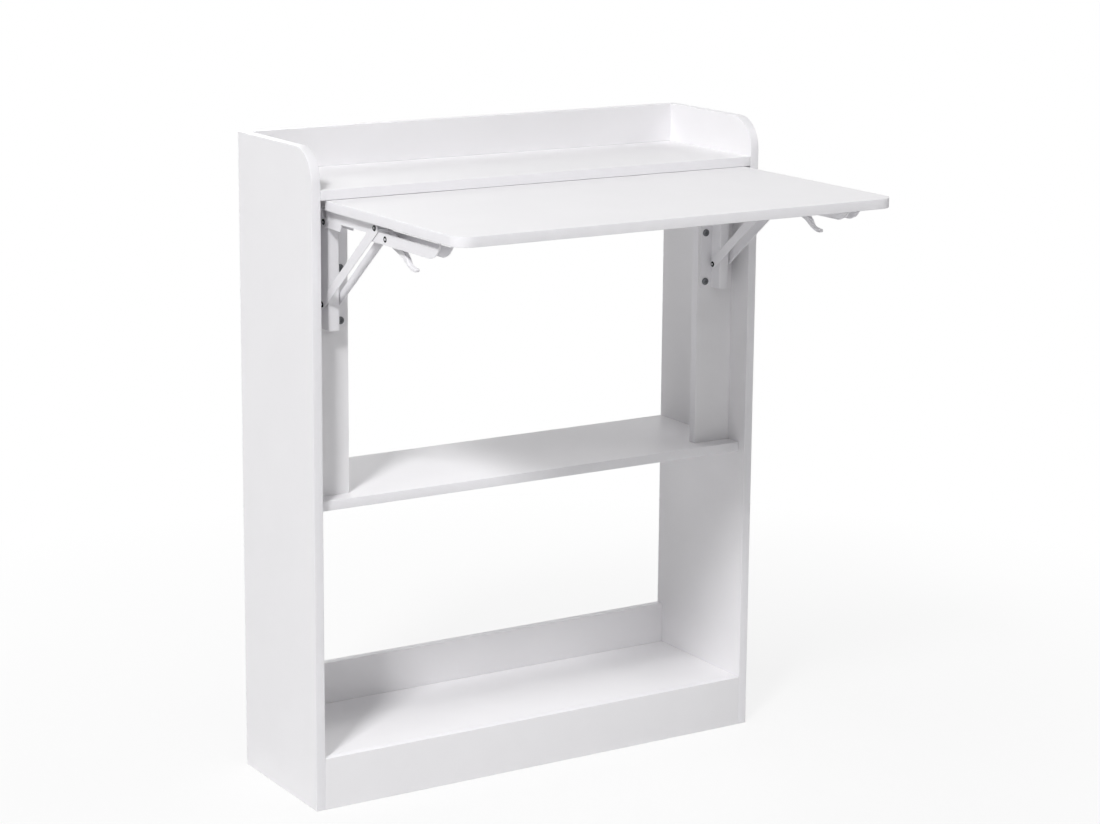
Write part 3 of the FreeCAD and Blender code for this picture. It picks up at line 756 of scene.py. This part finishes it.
def dark_zinc():
    """Zinc plate gone dull: mid grey metal, blotched at about a millimetre."""
    blotch = 0.9 * mm
    material, tree, place = start_material("dark_zinc")
    patches = add(tree, "ShaderNodeTexNoise", {"Vector": place, "Scale": 1 / blotch, "Detail": 3.0})
    grey = add(tree, "ShaderNodeMix", {
        "Factor": patches.outputs["Fac"], "A": colour("#5E6063"), "B": colour("#808285"),
    }, data_type="RGBA")
    gloss = add(tree, "ShaderNodeMapRange", {
        "Value": patches.outputs["Fac"], "To Min": 0.36, "To Max": 0.55,
    })
    skin = add(tree, "ShaderNodeBsdfPrincipled", {
        "Base Color": grey.outputs["Result"], "Roughness": gloss.outputs["Result"], "Metallic": 1.0,
    })
    add(tree, "ShaderNodeOutputMaterial", {"Surface": skin.outputs["BSDF"]})
    return material


def screw(node, name, seat, direction, head_radius, head_rise, stem_radius, bite):
    """A screw whose head sits on a seat: a flat dome, a cross recess, a plain shank and a point.

    The dome is a power curve: radius goes with the sine of the sweep and height with its cosine, both raised
    to one power. The cross is a share of the head's radius across, and of its rise in depth.
    """
    sweep = np.linspace(dome_start, math.pi / 2, dome_steps)
    dome = np.column_stack((np.sin(sweep), np.cos(sweep))) ** dome_power * (head_radius, head_rise)
    stem = ((stem_radius, 0), (stem_radius, stem_radius - bite), (blunt_point * stem_radius, -bite))
    rings = cross_recess(
        turned_rings(np.vstack((dome, stem)), cross_turns),
        cross_arm * head_radius, cross_slot * head_radius, cross_depth * head_rise, cross_level * head_rise,
    )
    stand_for(skin_rings(name, set_along(rings, seat, direction), (dull_zinc,)), node)


dull_zinc = dark_zinc()
for hand, side in sides.items():
    low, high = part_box(hand + "_wall_arm")
    x = bracket_middle(hand) - side * post_screw_offset
    for name, rise in (("low", post_screw_low), ("high", post_screw_low + post_screw_pitch)):
        seat = (x, high.y - steel, low.z + rise)
        screw("post_screws", f"{hand}_post_screw_{name}", seat, (0, -1, 0), **post_screw)
    low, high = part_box(hand + "_table_arm")
    hinge = middle_of(hand + "_hinge_pin")
    run = hinge.y - low.y - arm_tip
    for number, share in enumerate(leaf_screw_shares):
        seat = (bracket_middle(hand), hinge.y - share * run, high.z - steel)
        screw("leaf_screws", f"{hand}_leaf_screw_{number}", seat, (0, 0, -1), **leaf_screw)

# Stage: a plain pale floor that fades to white, and six soft boxes of light, the strongest high at the left.
# The camera stands at the photograph's angle, with its lens shifted a little to frame the unit.
# Each lamp has its place and its width in metres, and its power in watts.
floor_half = 30.0
floor_level = -0.3 * mm
fade_start, fade_end = 0.5, 1.4
near_glow = 0.84
ambient = 0.02
lamps_aim = Vector((0, 0, 0.4))
lamps = {
    "key_box": ((-4.57, -3.57, 5.91), 1.2, 434),
    "left_box": ((-5.64, -0.49, 6.06), 3.2, 142),
    "front_box": ((-1.23, -6.96, 4.16), 2.6, 62),
    "right_box": ((6.51, -2.37, 4.4), 4.4, 150),
    "back_left_box": ((-1.99, 2.84, 2.4), 2.3, 14),
    "back_box": ((0.3, 3.8, 1.9), 2.3, 45),
}
picture_width, picture_height = 1100, 824
focal_pixels = 2761.47
axis_pixel = (523.83, 341.92)
yaw, pitch, roll = 0.54966, 0.20105, 0.00623
camera_place = (-1765.17 * mm, -2777.17 * mm, 1229.79 * mm)
white = (1, 1, 1, 1)

floor_mesh = bpy.data.meshes.new("floor")
floor_signs = ((-1, -1), (1, -1), (1, 1), (-1, 1))
floor_corners = [(x * floor_half, y * floor_half, floor_level) for x, y in floor_signs]
floor_mesh.from_pydata(floor_corners, [], [(0, 1, 2, 3)])
floor = bpy.data.objects.new("floor", floor_mesh)
bpy.context.scene.collection.objects.link(floor)
material, tree, place = start_material("studio_floor")
far = add(tree, "ShaderNodeVectorMath", {0: place}, operation="LENGTH")
fade = add(tree, "ShaderNodeMapRange", {
    "Value": far.outputs["Value"], "From Min": fade_start, "From Max": fade_end,
    "To Min": near_glow, "To Max": 1.0,
})
rays = add(tree, "ShaderNodeLightPath").outputs
seen = add(tree, "ShaderNodeMath", {0: rays["Is Camera Ray"], 1: fade.outputs[0]}, operation="MULTIPLY")
pale = add(tree, "ShaderNodeBsdfDiffuse", {"Color": colour("#E4E4E4")})
glow = add(tree, "ShaderNodeEmission", {"Color": white, "Strength": 1.0})
mixed = add(tree, "ShaderNodeMixShader", {0: seen.outputs[0], 1: pale.outputs[0], 2: glow.outputs[0]})
add(tree, "ShaderNodeOutputMaterial", {"Surface": mixed.outputs[0]})
floor_mesh.materials.append(material)

world = bpy.data.worlds.new("studio")
bpy.context.scene.world = world
world.use_nodes = True
tree = world.node_tree
tree.nodes.clear()
rays = add(tree, "ShaderNodeLightPath").outputs
looks = add(tree, "ShaderNodeMath", {
    0: rays["Is Camera Ray"], 1: rays["Is Glossy Ray"],
}, operation="MAXIMUM")
looks = add(tree, "ShaderNodeMath", {
    0: looks.outputs[0], 1: rays["Is Transmission Ray"],
}, operation="MAXIMUM")
soft = add(tree, "ShaderNodeBackground", {"Color": white, "Strength": ambient})
plain = add(tree, "ShaderNodeBackground", {"Color": white, "Strength": 1.0})
mixed = add(tree, "ShaderNodeMixShader", {0: looks.outputs[0], 1: soft.outputs[0], 2: plain.outputs[0]})
add(tree, "ShaderNodeOutputWorld", {"Surface": mixed.outputs[0]})

for name, (place, width, power) in lamps.items():
    lamp = bpy.data.lights.new(name, "AREA")
    lamp.shape = "SQUARE"
    lamp.size = width
    lamp.energy = power
    box = bpy.data.objects.new(name, lamp)
    box.location = place
    box.rotation_euler = (lamps_aim - Vector(place)).to_track_quat("-Z", "Y").to_euler()
    bpy.context.scene.collection.objects.link(box)

camera_data = bpy.data.cameras.new("camera")
camera_data.sensor_width = 36
camera_data.lens = focal_pixels * camera_data.sensor_width / picture_width
camera_data.shift_x = (picture_width / 2 - axis_pixel[0]) / picture_width
camera_data.shift_y = (axis_pixel[1] - picture_height / 2) / picture_width
camera = bpy.data.objects.new("camera", camera_data)
camera.location = camera_place
level_turn = Matrix.Rotation(-yaw, 3, "Z")
tilt_turn = Matrix.Rotation(math.pi / 2 - pitch, 3, "X")
roll_turn = Matrix.Rotation(roll, 3, "Z")
camera.rotation_euler = (level_turn @ tilt_turn @ roll_turn).to_euler()
bpy.context.scene.collection.objects.link(camera)
bpy.context.scene.camera = camera
bpy.context.scene.view_settings.view_transform = "Standard"
